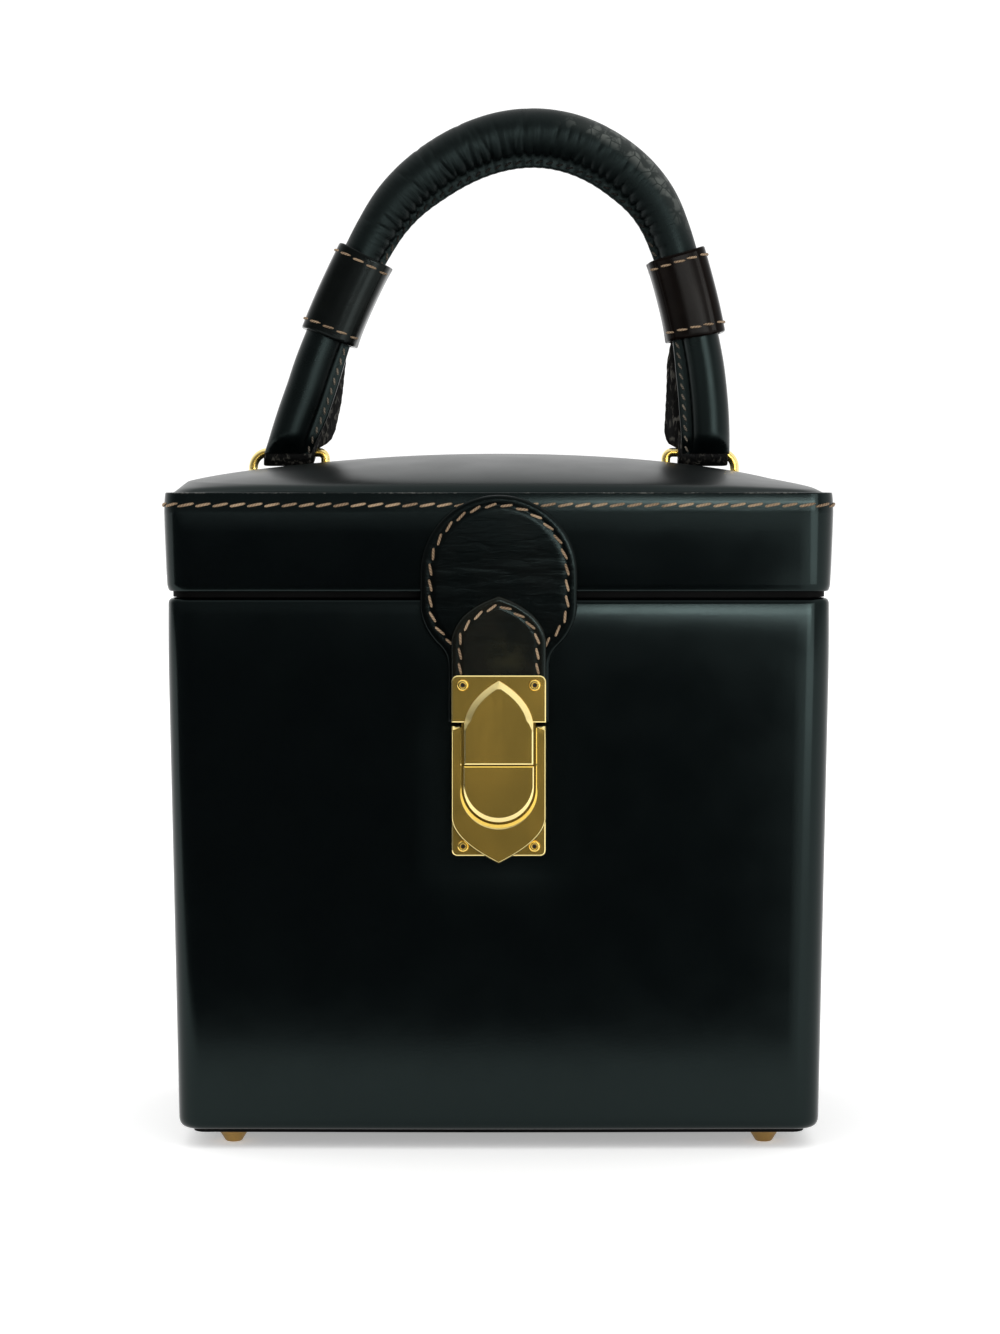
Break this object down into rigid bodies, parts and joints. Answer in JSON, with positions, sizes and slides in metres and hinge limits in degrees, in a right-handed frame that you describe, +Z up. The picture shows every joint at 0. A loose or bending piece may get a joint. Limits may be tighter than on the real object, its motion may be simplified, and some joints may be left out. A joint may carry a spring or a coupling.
{
  "type": "leather vanity bag",
  "caption": "Hard-sided box-shaped vanity bag in black leather with a hinged padded lid, a rolled top handle on metal loops, a press lock on a stitched tab, and small metal feet.",
  "frame": {"origin": "on the floor under the middle of the bag's box, at the level of the feet's undersides", "axes": "+Z up along the bag's height, the front with the lock faces -Y, +X to the right as seen from the front"},
  "size_m": [0.1856, 0.1349, 0.2932],
  "materials": {
    "black_leather": "glossy smooth calf leather, black",
    "grip_leather": "rolled black leather, satin gloss, wrinkled along the inside of the arch",
    "tab_leather": "worn brown-black leather, satin",
    "rim_leather": "matt black leather-covered board",
    "gold_plate": "polished gold plating with fine scratches",
    "aged_brass": "aged brass, dulled"
  },
  "bodies": {
    "case": {"case_shell": "black_leather", "inner_rim": "rim_leather", "base_panel": "rim_leather", "foot_front_left": "aged_brass", "foot_front_right": "aged_brass", "foot_back_left": "aged_brass", "foot_back_right": "aged_brass", "hinge_roll": "black_leather", "lock_housing": "gold_plate", "lock_rivet_low_left": "gold_plate", "lock_rivet_low_right": "gold_plate"},
    "button": {"lock_button": "gold_plate"},
    "lid": {"lid_band": "black_leather", "lid_top": "black_leather", "tab_back": "tab_leather", "tab_front": "tab_leather", "lock_hasp": "gold_plate", "lock_rivet_top_left": "gold_plate", "lock_rivet_top_right": "gold_plate", "handle_loop_left": "gold_plate", "handle_loop_right": "gold_plate"},
    "handle": {"handle_grip": "grip_leather", "handle_sling_left": "grip_leather", "handle_sling_right": "grip_leather", "handle_collar_left": "tab_leather", "handle_collar_right": "tab_leather"}
  },
  "joints": [
    {"name": "lid_hinge", "type": "hinge", "parent": "case", "child": "lid", "pos_m": [0, 0.0663, 0.1539], "axis": [-1, 0, 0], "range_deg": [0, 105]},
    {"name": "handle_swing", "type": "hinge", "parent": "lid", "child": "handle", "pos_m": [0, 0.0062, 0.193], "axis": [1, 0, 0], "range_deg": [-75, 38]},
    {"name": "button_press", "type": "slide", "parent": "case", "child": "button", "axis": [0, 1, 0], "range_m": [0, 0.0012], "stiffness_N_per_m": 900}
  ]
}
